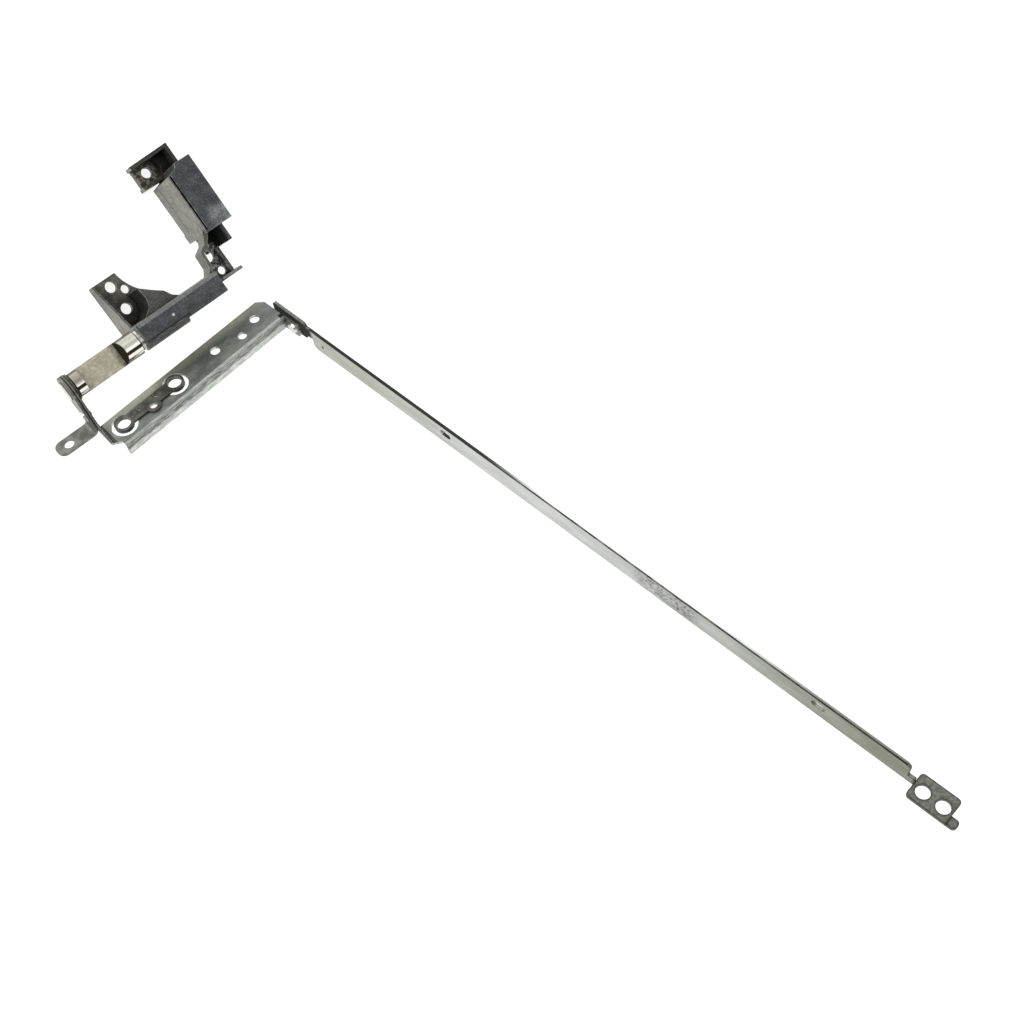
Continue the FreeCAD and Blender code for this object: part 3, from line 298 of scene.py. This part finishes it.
class Casting(Paint):
    """Dark satin die casting: darker tops and paler sides painted as the light falls, blasted speckle,
    painted shade in the pockets and corners, bright worn edges with a painted highlight.
    """

    def __init__(self):
        super().__init__("dark_casting")
        self.at = {name: self.zone(*box) for name, box in CASTING_ZONES.items()}
        self.cloud = self.patches(grain=3.0, detail=3.0, low=0.35, high=0.68)
        self.top = self.facing(AXIS_Z)

    def stain(self, colour, name, share=None):
        """One named tone laid over its share, which is its whole zone if none is given; some are marks of
        the casting, some painted shade or a painted highlight.
        """
        return self.lay(colour, self.at[name] if share is None else share, *CASTING_OVERLAYS[name])

    def mottled(self, name, share):
        return self.mix(share, *CASTING_TONES[name])

    def sides(self):
        rear_wall = self.times(self.at["rear_wall"], self.rise(self.along(AXIS_Y), -7.0, 4.0))
        wall_top = self.times(self.at["wall_top"], self.facing(WALL_TOP_OUT, 0.80, 0.95))
        colour = self.mottled("side", self.cloud)
        colour = self.stain(colour, "rear_wall", rear_wall)
        colour = self.stain(colour, "wall_top", wall_top)
        return self.stain(colour, "bend")

    def tops(self):
        grime = self.patches(grain=1.1, detail=4.0, low=0.42, high=0.60)
        flakes = self.patches(grain=1.0, detail=2.0, low=0.45, high=0.58)
        worn_top = self.times(self.at["worn_top"], self.span(self.cloud, 0.4, 0.9))
        colour = self.mottled("top", self.cloud)
        colour = self.stain(colour, "back_edge")
        colour = self.stain(colour, "worn_top", worn_top)
        colour = self.lay(colour, self.at["web"], self.mottled("web", self.cloud))
        colour = self.stain(colour, "arm")
        colour = self.lay(colour, self.at["mount_floor"], self.mottled("mount_floor", self.cloud))
        colour = self.lay(colour, self.at["tray_floor"], self.mottled("tray_floor", grime))
        return self.lay(colour, self.at["ledge"], self.mottled("ledge", flakes))

    def build(self):
        # painted shade: the walls facing -X in the deep well by the web
        well = self.times(self.at["well"], self.facing(BACK_X, 0.05, 0.30))
        tray_tops = self.times(self.at["tray_tops"], self.facing(TRAY_TOP_OUT, 0.70, 0.85))
        tray_walls = self.most(self.at["tray_walls"], tray_tops)
        tray_end = self.times(self.at["tray_end"], self.rise(self.along(AXIS_X), 29.0, 31.0))
        barrel_top = self.rise(self.along(AXIS_Z), 20.95, 21.15)
        # the painted shade of the well and the pocket, with the notch wall and the tray walls; these get
        # less glint, less metal, lower gloss and more roughness
        dark_hollows = self.most(well, self.at["pocket"], self.at["notch"], tray_walls)

        # painted light and shade: faces turned up take the darker top tones, the others the paler side
        # tones
        colour = self.mix(self.top, self.sides(), self.tops())
        # painted shade: the well's walls laid near black
        colour = self.lay(colour, well, self.mottled("well", self.cloud), 0.97)
        colour = self.stain(colour, "notch")
        colour = self.stain(colour, "floor_end")
        colour = self.lay(colour, self.at["barrel_front"], self.mottled("barrel_front", barrel_top), 0.92)
        colour = self.stain(colour, "seam")
        colour = self.stain(colour, "fin")
        colour = self.stain(colour, "tray_walls", tray_walls)
        colour = self.stain(colour, "tray_end", tray_end)
        # painted shadow: a dark line in the groove under the box's top edge
        colour = self.stain(colour, "step_shadow")
        # painted shade: the box's hollow and its recess laid near black
        colour = self.stain(colour, "pocket")

        blasted = self.patches(grain=0.50, detail=4.0, low=0.46, high=0.66)
        scuff = self.patches(grain=(0.10, 1.4, 1.4), detail=1.0, low=0.62, high=0.76, turn=0.6)
        glint = self.times(self.top, self.patches(grain=0.26, detail=2.0, low=0.62, high=0.70))
        colour = self.speckle(colour, blasted, level=2.1, strength=0.60)
        colour = self.stain(colour, "scuff", scuff)
        colour = self.stain(colour, "glint", self.times(glint, self.span(dark_hollows, 0.45, 0.0)))

        air = self.open_air(4.0)
        # painted shade: darker deep in corners, from the open air within 4 mm
        colour = self.corner_shade(colour, air, 0.12, 0.85, darkest=0.15)
        # wear and painted highlight: bright lines on the free outer edges, broken up in patches and
        # weaker on the tray walls
        chipped = self.span(self.patches(grain=1.6, detail=2.0, low=0.4, high=0.6), 0.20, 0.85)
        bare_edge = self.times(self.outer_edges(0.34, air), chipped, self.span(tray_walls, 1.0, 0.25))
        colour = self.stain(colour, "bare_edge", bare_edge)

        satin = self.span(self.noise(grain=1.2, detail=3.0), 0.34, 0.60)
        rough = self.most(satin, self.times(dark_hollows, 0.95))
        metallic = self.span(dark_hollows, 0.55, 0.25)
        gloss = self.span(dark_hollows, self.PLAIN_GLOSS, 0.2)
        return self.finish(colour, metallic, rough, self.noise(grain=0.40, detail=3.0), 0.10, gloss)


# shaft: where the milled flat and its end wall lie, how far the land and the tenon reach along X, and
# where the painted shadow and reflection on the flat by the end wall begin
FLAT_ZONE = ((-24.3, -16.0, 18.0), (-10.95, -8.0, 18.5), 0.05)
END_WALL_ZONE = ((-12.3, -16.0, 18.2), (-10.8, -8.0, 21.7), 0.05)
END_WALL_OUT = (-0.93, 0.0, 0.38)
SHAFT_BACK = (0.0, 0.955, -0.297)
LAND_FROM, LAND_TO = -24.6, -24.2
TENON_FROM, TENON_TO = -29.0, -28.8
FLAT_SHADE_FROM, FLAT_SHADE_TO = -14.2, -12.4


def shaft_paint():
    """Polished nickel round the shaft with painted reflection bands and painted shade, a matt mottled
    milled flat with a painted shadow by its dark end wall.
    """
    p = Paint("polished_shaft")
    lengthwise = p.along(AXIS_X)
    behind = p.dot(p.normal, SHAFT_BACK)
    flat = p.times(p.zone(*FLAT_ZONE), p.facing(AXIS_Z, 0.90, 0.98))
    wall = p.times(p.zone(*END_WALL_ZONE), p.facing(END_WALL_OUT, 0.95, 0.99))

    spots = p.patches(grain=1.6, detail=3.0, low=0.50, high=0.72)
    # painted shade: the land darker where its surface turns away from the front
    land_shading = p.times(p.fall(lengthwise, LAND_FROM, LAND_TO), p.rise(behind, -0.46, -0.30))
    # painted reflection: dark bands along the shaft's two sides, wide at the back and thin at the front,
    # with less metal and gloss there
    dark_reflection = p.most(p.rise(behind, 0.50, 0.76), p.fall(behind, -0.995, -0.95))
    nickel = p.lay((0.97, 0.945, 0.84), spots, (0.66, 0.620, 0.50), 0.35)
    # painted reflection: the nickel darker where its surface turns back
    nickel = p.lay(nickel, p.rise(behind, 0.12, 0.34), (0.56, 0.540, 0.455), 0.85)
    nickel = p.lay(nickel, land_shading, (0.40, 0.370, 0.295), 0.80)
    nickel = p.lay(nickel, dark_reflection, (0.070, 0.063, 0.045), 0.92)
    nickel = p.lay(nickel, p.fall(lengthwise, TENON_FROM, TENON_TO), (0.40, 0.375, 0.310), 0.80)

    mottle = p.patches(grain=0.9, detail=4.0, low=0.36, high=0.66)
    smear = p.patches(grain=(3.5, 1.8, 1.8), detail=2.0, low=0.40, high=0.62)
    # painted shadow and reflection: a dark band on the flat next to its end wall, broken up by the mottle
    stain = p.times(p.rise(lengthwise, FLAT_SHADE_FROM, FLAT_SHADE_TO), p.span(mottle, 0.90, 0.45))
    milled = p.mix(mottle, (0.39, 0.365, 0.285), (0.53, 0.500, 0.395))
    milled = p.lay(milled, smear, (0.30, 0.278, 0.205), 0.45)
    milled = p.lay(milled, stain, (0.075, 0.068, 0.048))

    colour = p.mix(flat, nickel, milled)
    colour = p.lay(colour, wall, (0.018, 0.016, 0.012))
    # painted shade: darker deep in corners
    colour = p.corner_shade(colour, p.open_air(1.5), 0.1, 0.7, darkest=0.25)
    metallic = p.times(p.span(flat, 1.0, 0.35), p.span(wall, 1.0, 0.0), p.span(dark_reflection, 1.0, 0.3))
    polish = p.span(p.noise(grain=0.8, detail=2.0), 0.06, 0.16)
    rough = p.calc("ADD", polish, p.span(p.most(flat, wall), 0.0, 0.50))
    rings = p.times(p.noise(grain=(0.09, 60.0, 60.0), detail=1.0), 0.25)
    height = p.calc("ADD", rings, p.times(flat, p.noise(grain=0.2, detail=3.0)))
    gloss = p.span(p.most(wall, dark_reflection), p.PLAIN_GLOSS, 0.05)
    return p.finish(colour, metallic, rough, height, 0.03, gloss)


# ear: where the joints between its stacked sheets lie along X, with their soft borders; the shade in
# these narrow gaps is painted there
EAR_JOINTS = [(-28.60, -28.34, 0.08), (-27.80, -27.56, 0.08), (-27.16, -27.02, 0.06)]
EAR_FROM, EAR_TO = -27.2, -26.6


def cut_edges(p):
    """1 on the sheets' cut edges at the ear, 0 on their broad faces."""
    return p.rest(p.calc("ADD", p.facing(AXIS_X, 0.3, 0.6), p.facing(BACK_X, 0.3, 0.6)))


def ear_joint_shade(p):
    """Painted shade in the narrow gaps between the ear's stacked sheets."""
    across = p.along(AXIS_X)
    return p.times(p.most(*[p.within(across, *joint) for joint in EAR_JOINTS]), cut_edges(p))


def plate_paint():
    """Zinc-plated lid plate: grey-green face, paler back edge, streaked flange painted lighter as the
    light falls, a painted highlight on the fold, painted shade in corners and in the ear's joints.
    """
    p = Paint("zinc_steel")
    across = p.along(PLATE_Y, LID_ORIGIN)
    lengthwise = p.along(PLATE_X, LID_ORIGIN)
    height = p.along(LID_Z, LID_ORIGIN)
    cloud = p.patches(grain=(7.0, 3.0, 3.0), detail=3.0, low=0.35, high=0.66, turn=LID_TURN)
    streak = p.patches(grain=(5.0, 0.24, 0.24), detail=3.0, low=0.38, high=0.64, turn=LID_TURN)

    olive = p.times(p.rise(across, -3.6, -0.4), p.span(p.rise(lengthwise, 4.0, 26.0), 0.50, 0.98))
    face = p.mix(cloud, (0.150, 0.165, 0.152), (0.260, 0.278, 0.250))
    face = p.lay(face, olive, (0.410, 0.415, 0.335))
    face = p.lay(face, p.fall(lengthwise, 2.0, 16.0), (0.270, 0.280, 0.245), 0.25)
    face = p.lay(face, p.rise(lengthwise, 49.0, 55.0), (0.125, 0.133, 0.120), 0.50)

    grime = p.times(p.within(height, -2.3, -1.0, 0.6), p.span(streak, 0.92, 0.40))
    flange = p.mix(streak, (0.380, 0.415, 0.378), (0.680, 0.715, 0.665))
    flange = p.lay(flange, grime, (0.085, 0.096, 0.086))

    # painted highlight along the fold, broken by wear streaks
    fold_highlight = p.times(p.facing(FOLD_OUT, 0.84, 0.95), p.span(streak, 0.25, 0.95))
    ear_edge = p.times(p.fall(p.along(AXIS_X), EAR_FROM, EAR_TO), cut_edges(p))
    grains = p.patches(grain=0.50, detail=4.0, low=0.44, high=0.66)
    # painted light: the flange, turned to -Y of the plate, takes a much lighter tone than the face
    colour = p.mix(p.facing(opposite(PLATE_Y), 0.55, 0.85), face, flange)
    colour = p.lay(colour, fold_highlight, (0.560, 0.590, 0.545))
    colour = p.lay(colour, ear_edge, (0.075, 0.077, 0.070), 0.75)
    # painted shade in the gaps between the ear's stacked sheets
    colour = p.lay(colour, ear_joint_shade(p), JOINT_SHADE)
    colour = p.speckle(colour, grains, level=1.6, strength=0.35)

    air = p.open_air(2.5)
    # painted shade: darker deep in corners
    colour = p.corner_shade(colour, air, 0.15, 0.80, darkest=0.30)
    colour = p.lay(colour, p.outer_edges(0.20, air), (0.060, 0.062, 0.056), 0.75)
    rough = p.span(p.noise(grain=(2.5, 1.0, 1.0), detail=3.0, turn=LID_TURN), 0.28, 0.52)
    brushed = p.noise(grain=(0.9, 0.2, 0.2), detail=3.0, turn=LID_TURN)
    return p.finish(colour, 0.75, rough, brushed, 0.03)


# rail: places along its run from the lid plate, where its head ends and its end plate begins
HEAD_FROM, HEAD_TO = 19.0, 20.5
FOOT_FROM, FOOT_TO = 216.5, 218.0
TOP_EDGE_FROM, TOP_EDGE_TO = 18.6, 19.4
LINE_FROM, LINE_TO = 21.0, 24.0
LAST_FROM, LAST_TO = 215.0, 217.0
SCUFFED_FROM, SCUFFED_TO = 140.0, 154.0


def rail_paint():
    """Zinc-plated rail: pale grey in the middle, olive grey at the far end, with scuffs."""
    p = Paint("rail_steel")
    run = p.times(p.along(RAIL_Y, LID_ORIGIN), -1.0)
    height = p.along(LID_Z, LID_ORIGIN)
    depth = p.calc("SUBTRACT", p.along(RAIL_X), RAIL_FACE)
    head = p.fall(run, HEAD_FROM, HEAD_TO)
    foot = p.rise(run, FOOT_FROM, FOOT_TO)
    before_foot = p.fall(run, LAST_FROM, LAST_TO)

    cloud = p.patches(grain=(3.0, 14.0, 3.0), detail=3.0, low=0.36, high=0.66, turn=LID_TURN)
    streak = p.patches(grain=(0.4, 16.0, 0.35), detail=2.0, low=0.40, high=0.66, turn=LID_TURN)
    grains = p.patches(grain=0.2, detail=3.0, low=0.42, high=0.72)
    blotch = p.patches(grain=0.6, detail=3.0, low=0.38, high=0.66)
    near = p.mix(cloud, (0.350, 0.365, 0.315), (0.420, 0.435, 0.375))
    middle = p.mix(cloud, (0.455, 0.480, 0.463), (0.545, 0.570, 0.550))
    far = p.mix(cloud, (0.175, 0.182, 0.135), (0.235, 0.243, 0.188))
    colour = p.mix(p.rise(run, 40.0, 90.0), near, middle)
    colour = p.lay(colour, p.rise(run, 118.0, 222.0), far)
    colour = p.lay(colour, foot, p.mix(blotch, (0.100, 0.106, 0.086), (0.165, 0.172, 0.145)))
    colour = p.lay(colour, head, p.mix(blotch, (0.120, 0.123, 0.110), (0.220, 0.223, 0.202)))
    colour = p.speckle(colour, streak, level=0.82, strength=0.25)
    colour = p.speckle(colour, grains, level=1.3, strength=0.20)

    scuffed = p.within(run, SCUFFED_FROM, SCUFFED_TO, 4.0)
    blur = p.patches(grain=(1.2, 2.0, 1.2), detail=3.0, low=0.38, high=0.60, turn=LID_TURN)
    fleck = p.patches(grain=(0.55, 0.8, 0.55), detail=3.0, low=0.555, high=0.60, turn=LID_TURN)
    colour = p.lay(colour, p.times(scuffed, blur), (0.290, 0.295, 0.270), 0.75)
    colour = p.lay(colour, p.times(scuffed, fleck, p.within(height, -5.5, -0.2, 0.8)), (0.018,) * 3, 0.95)

    top_edge = p.times(p.facing(LID_Z, 0.7, 0.9), p.rise(run, TOP_EDGE_FROM, TOP_EDGE_TO), before_foot)
    edge_tone = p.mix(p.rise(run, 150.0, 200.0), (0.660, 0.665, 0.640), (0.190, 0.194, 0.165))
    edge_tone = p.lay(edge_tone, p.fall(run, 85.0, 112.0), (0.026, 0.026, 0.022))
    colour = p.lay(colour, top_edge, edge_tone)

    line = p.times(p.within(depth, -0.26, 0.34, 0.10), p.rise(height, -0.40, -0.20))
    line = p.times(line, p.rise(run, LINE_FROM, LINE_TO), before_foot)
    torn = p.patches(grain=(0.6, 3.5, 0.6), detail=2.0, low=0.30, high=0.60, turn=LID_TURN)
    colour = p.lay(colour, p.times(line, p.span(torn, 0.80, 1.0)), (0.012, 0.012, 0.011))
    # painted shadow: the head's face turned to -X, in the gap beside the tab, laid near black and matt
    gap = p.times(head, p.facing(opposite(RAIL_X), 0.80, 0.95))
    colour = p.lay(colour, gap, (0.016, 0.016, 0.015), 0.85)

    outline = p.times(p.edges(0.45, 0.86, 0.99), p.rest(top_edge))
    outline = p.times(outline, p.span(p.rise(run, 120.0, 217.0), 0.40, 0.85))
    colour = p.lay(colour, outline, (0.022, 0.022, 0.020))
    colour = p.lay(colour, p.times(p.edges(0.90, 0.90, 0.995), foot), (0.018, 0.018, 0.016), 0.85)
    # painted shade: darker deep in corners
    colour = p.corner_shade(colour, p.open_air(1.5), 0.15, 0.70, darkest=0.35)

    satin = p.span(p.noise(grain=(1.0, 3.0, 1.0), detail=3.0, turn=LID_TURN), 0.30, 0.52)
    rough = p.most(satin, p.times(gap, 0.95))
    brushed = p.noise(grain=(0.2, 0.9, 0.2), detail=3.0, turn=LID_TURN)
    return p.finish(colour, 0.75, rough, brushed, 0.03)


def sheet_paint(name, dark, light, edge, metallic, roughness, joints=False):
    """Plain plated steel: mottled colour, painted shade in corners and, where asked, in the ear's joints;
    outer edges in the given tone, light ones a painted highlight; fine grain.
    """
    p = Paint(name)
    cloud = p.patches(grain=2.2, detail=3.0, low=0.36, high=0.66)
    grains = p.patches(grain=0.2, detail=3.0, low=0.42, high=0.72)
    air = p.open_air(1.8)
    colour = p.mix(cloud, dark, light)
    colour = p.speckle(colour, grains, level=1.6, strength=0.30)
    # painted shade: darker deep in corners
    colour = p.corner_shade(colour, air, 0.15, 0.75, darkest=0.22)
    # outer edges in the edge tone: a painted highlight where the tone is light, as on the dark, bright
    # and spring steel
    colour = p.lay(colour, p.outer_edges(0.18, air), edge, 0.60)
    if joints:
        # painted shade in the gaps between the ear's stacked sheets
        colour = p.lay(colour, ear_joint_shade(p), JOINT_SHADE)
    rough = p.span(p.noise(grain=0.9, detail=3.0), *roughness)
    return p.finish(colour, metallic, rough, p.noise(grain=0.18, detail=3.0), 0.03)


satin_steel = sheet_paint(
    "satin_steel", dark=(0.130, 0.133, 0.117), light=(0.235, 0.239, 0.213), edge=(0.050, 0.050, 0.045),
    metallic=0.75, roughness=(0.30, 0.50), joints=True)
dark_steel = sheet_paint(
    "dark_steel", dark=(0.062, 0.062, 0.054), light=(0.130, 0.130, 0.115), edge=(0.360, 0.360, 0.340),
    metallic=0.70, roughness=(0.30, 0.52), joints=True)
bright_steel = sheet_paint(
    "bright_steel", dark=(0.550, 0.540, 0.490), light=(0.740, 0.730, 0.680), edge=(0.850, 0.840, 0.800),
    metallic=0.90, roughness=(0.18, 0.34))
spring_steel = sheet_paint(
    "spring_steel", dark=(0.160, 0.160, 0.160), light=(0.280, 0.280, 0.280), edge=(0.500, 0.500, 0.500),
    metallic=0.85, roughness=(0.25, 0.42))
PAINTS = {
    "base_casting": Casting().build(),
    "friction_sleeve": spring_steel,
    "retaining_pin": bright_steel,
    "hinge_shaft": shaft_paint(),
    "thrust_washer": bright_steel,
    "ear_washer": dark_steel,
    "tab_bracket": satin_steel,
    "lid_plate": plate_paint(),
    "ear_rivet": bright_steel,
    "screw_link": dark_steel,
    "link_rivets": dark_steel,
    "lid_rail": rail_paint(),
    "rail_rivet": bright_steel,
}
for name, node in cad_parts.items():
    node.data.materials.clear()
    node.data.materials.append(PAINTS[name])

# stage: a white floor that keeps the shadow (metres)
FLOOR_SIDE = 8.0
FLOOR_DROP = 0.0005
FLOOR_LIT = (0.86, 0.86, 0.86)
FLOOR_SEEN = (0.36, 0.36, 0.36)
FLOOR_GLOW = 0.85


def floor_paint():
    """Part matt and part glow as seen or mirrored, and plain matt to the light that it throws back."""
    material = bpy.data.materials.new("floor_white")
    g = Graph(material)
    rays = g.add("ShaderNodeLightPath").outputs
    seen = g.most(rays["Is Camera Ray"], rays["Is Glossy Ray"], rays["Is Transmission Ray"])
    matt = g.add("ShaderNodeBsdfDiffuse")
    g.feed(matt.inputs["Color"], g.mix(seen, FLOOR_LIT, FLOOR_SEEN))
    glow = g.add("ShaderNodeEmission")
    g.feed(glow.inputs["Strength"], g.times(seen, FLOOR_GLOW))
    both = g.add("ShaderNodeAddShader")
    g.feed(both.inputs[0], matt.outputs[0])
    g.feed(both.inputs[1], glow.outputs[0])
    g.close("ShaderNodeOutputMaterial", both.outputs[0])
    return material


bpy.ops.mesh.primitive_plane_add(size=FLOOR_SIDE, location=(0.0, 0.0, -FLOOR_DROP))
floor = bpy.context.object
floor.name = "floor"
floor.data.materials.append(floor_paint())

# light: softboxes overhead with a dark gap, as level against lean from the zenith (-1 is +Y, 1 is -Y)
SOFTBOXES = [
    (-1.00, 0.90), (-0.62, 0.81), (-0.45, 0.68), (-0.32, 0.50), (-0.12, 0.54), (0.02, 1.04), (0.25, 1.08),
    (0.275, 0.02), (0.62, 0.02), (0.65, 0.95), (1.00, 0.95),
]
# below the first height the sky is plain white, above the second only softboxes are left
WHITE_TO, SOFTBOX_FROM = 0.36, 0.50


def studio_world():
    world = bpy.data.worlds.new("studio")
    g = Graph(world)
    split = g.add("ShaderNodeSeparateXYZ")
    g.feed(split.inputs[0], g.add("ShaderNodeTexCoord").outputs["Generated"])
    lean = g.calc("ARCTAN2", split.outputs["Y"], split.outputs["Z"])
    boxes = g.add("ShaderNodeValToRGB")
    stops = boxes.color_ramp.elements
    while len(stops) < len(SOFTBOXES):
        stops.new(0.5)
    for stop, (lean_at, level) in zip(stops, SOFTBOXES):
        stop.position = (lean_at + 1.0) / 2.0
        stop.color = (level, level, level, 1.0)
    g.feed(boxes.inputs["Fac"], g.remap(lean, math.pi / 2.0, -math.pi / 2.0))
    overhead = g.remap(split.outputs["Z"], WHITE_TO, SOFTBOX_FROM)
    sky = g.add("ShaderNodeBackground")
    g.feed(sky.inputs["Color"], g.mix(overhead, WHITE, boxes.outputs["Color"]))
    g.close("ShaderNodeOutputWorld", sky.outputs["Background"])
    return world


# lamps (metres and watts)
LAMP_TARGET = (0.0, -0.05, 0.03)
LAMP_SIZE = 0.50


def lamp(name, place, power, colour):
    light = bpy.data.lights.new(name, "AREA")
    light.shape = "DISK"
    light.size = LAMP_SIZE
    light.energy = power
    light.color = colour
    holder = bpy.data.objects.new(name, light)
    bpy.context.collection.objects.link(holder)
    holder.location = place
    holder.rotation_euler = (Vector(LAMP_TARGET) - Vector(place)).to_track_quat("-Z", "Y").to_euler()


bpy.context.scene.world = studio_world()
lamp("key", (-0.55, 0.30, 0.55), power=3.5, colour=(1.0, 0.97, 0.90))
lamp("fill", (0.45, 0.55, 0.40), power=1.3, colour=(0.96, 0.98, 1.0))

# camera at the photograph's view (metres, lens in millimetres)
CAMERA_PLACE = (-0.0806, 0.00076, 0.39539)
CAMERA_RIGHT = Vector((0.7256, -0.5389, 0.4280))
CAMERA_UP = Vector((0.6069, 0.7943, -0.0287))
CAMERA_AHEAD = Vector((0.3245, -0.2805, -0.9033))
SENSOR_WIDTH = 36.0
LENS = 48.23
NEAREST = 0.01
view = bpy.data.cameras.new("camera")
view.sensor_width = SENSOR_WIDTH
view.lens = LENS
view.clip_start = NEAREST
camera = bpy.data.objects.new("camera", view)
bpy.context.collection.objects.link(camera)
aim = Matrix((CAMERA_RIGHT, CAMERA_UP, -CAMERA_AHEAD)).transposed().to_4x4()
camera.matrix_world = Matrix.Translation(CAMERA_PLACE) @ aim
bpy.context.scene.camera = camera
bpy.context.scene.view_settings.view_transform = "Standard"
